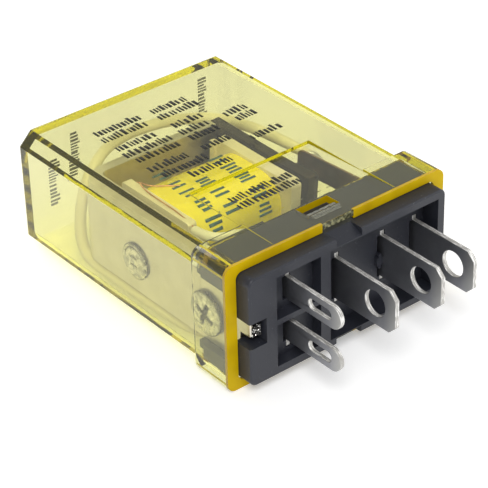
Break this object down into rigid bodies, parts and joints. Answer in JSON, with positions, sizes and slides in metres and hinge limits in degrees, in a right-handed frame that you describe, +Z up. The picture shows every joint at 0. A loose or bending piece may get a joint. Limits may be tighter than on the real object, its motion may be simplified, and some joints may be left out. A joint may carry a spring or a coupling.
{
  "type": "plug-in relay",
  "caption": "Plug-in power relay in a clear latched cover, with coil, yoke, hinged armature, changeover contact and plug-in blades.",
  "frame": {"origin": "centre of the base's plug face, where the base meets the socket", "axes": "the relay lies on a broad side: +X across the width from the coil blades to the contact blades, +Y along the plug axis from the plug face to the closed end, +Z up through the thickness; the blades point to -Y"},
  "size_m": [0.0274, 0.042, 0.014],
  "materials": {
    "cover_polycarbonate": "clear pale yellow polycarbonate, polished mould",
    "base_plastic": "charcoal glass-filled nylon, fine spark-eroded grain",
    "blade_tin": "tinned brass strip, bright, sheared edges",
    "yoke_nickel": "nickel-plated steel strip, rolled grain",
    "screw_steel": "zinc-plated steel",
    "core_iron": "nickel-plated soft iron, turned",
    "copper": "enamelled or bare copper",
    "bobbin_plastic": "beige moulded polymer",
    "coil_tape": "yellow polyester tape, smooth",
    "armature_steel": "dark plated soft iron",
    "carrier_plastic": "dark phenolic moulding",
    "spring_bronze": "rolled phosphor bronze, tarnished brown",
    "rivet_brass": "brass rivets, upset heads",
    "contact_silver": "silver alloy, slightly dull",
    "lead_sleeve": "pale khaki insulated stranded lead",
    "coil_sleeve": "white glass-fibre sleeve",
    "print_ink": "thin pad-printed ink, dark on the cover and teal on the tape",
    "solder": "solder joints, dull bright"
  },
  "bodies": {
    "housing": {"cover": "cover_polycarbonate", "base": "base_plastic", "com_terminal": "blade_tin", "no_terminal": "blade_tin", "nc_terminal": "blade_tin", "coil_terminal_a": "blade_tin", "coil_terminal_b": "blade_tin", "yoke": "yoke_nickel", "yoke_screw": "screw_steel", "core": "core_iron", "shading_ring": "copper", "bobbin": "bobbin_plastic", "coil_winding": "copper", "coil_tape": "coil_tape", "no_contact": "contact_silver", "nc_contact": "contact_silver", "return_spring": "spring_bronze", "spring_rivets": "rivet_brass", "flexible_lead": "lead_sleeve", "coil_lead_a": "coil_sleeve", "coil_lead_b": "coil_sleeve"},
    "armature": {"armature": "armature_steel", "contact_carrier": "carrier_plastic", "moving_spring": "spring_bronze", "armature_rivets": "rivet_brass", "moving_contact": "contact_silver"}
  },
  "joints": [
    {"name": "armature_hinge", "type": "hinge", "parent": "housing", "child": "armature", "pos_m": [0.00435, 0.0268, 0], "axis": [0, 0, -1], "range_deg": [0, 2.4], "stiffness_Nm_per_rad": 0.01, "springref_deg": -8.59, "deforming": ["return_spring", "flexible_lead"]}
  ]
}
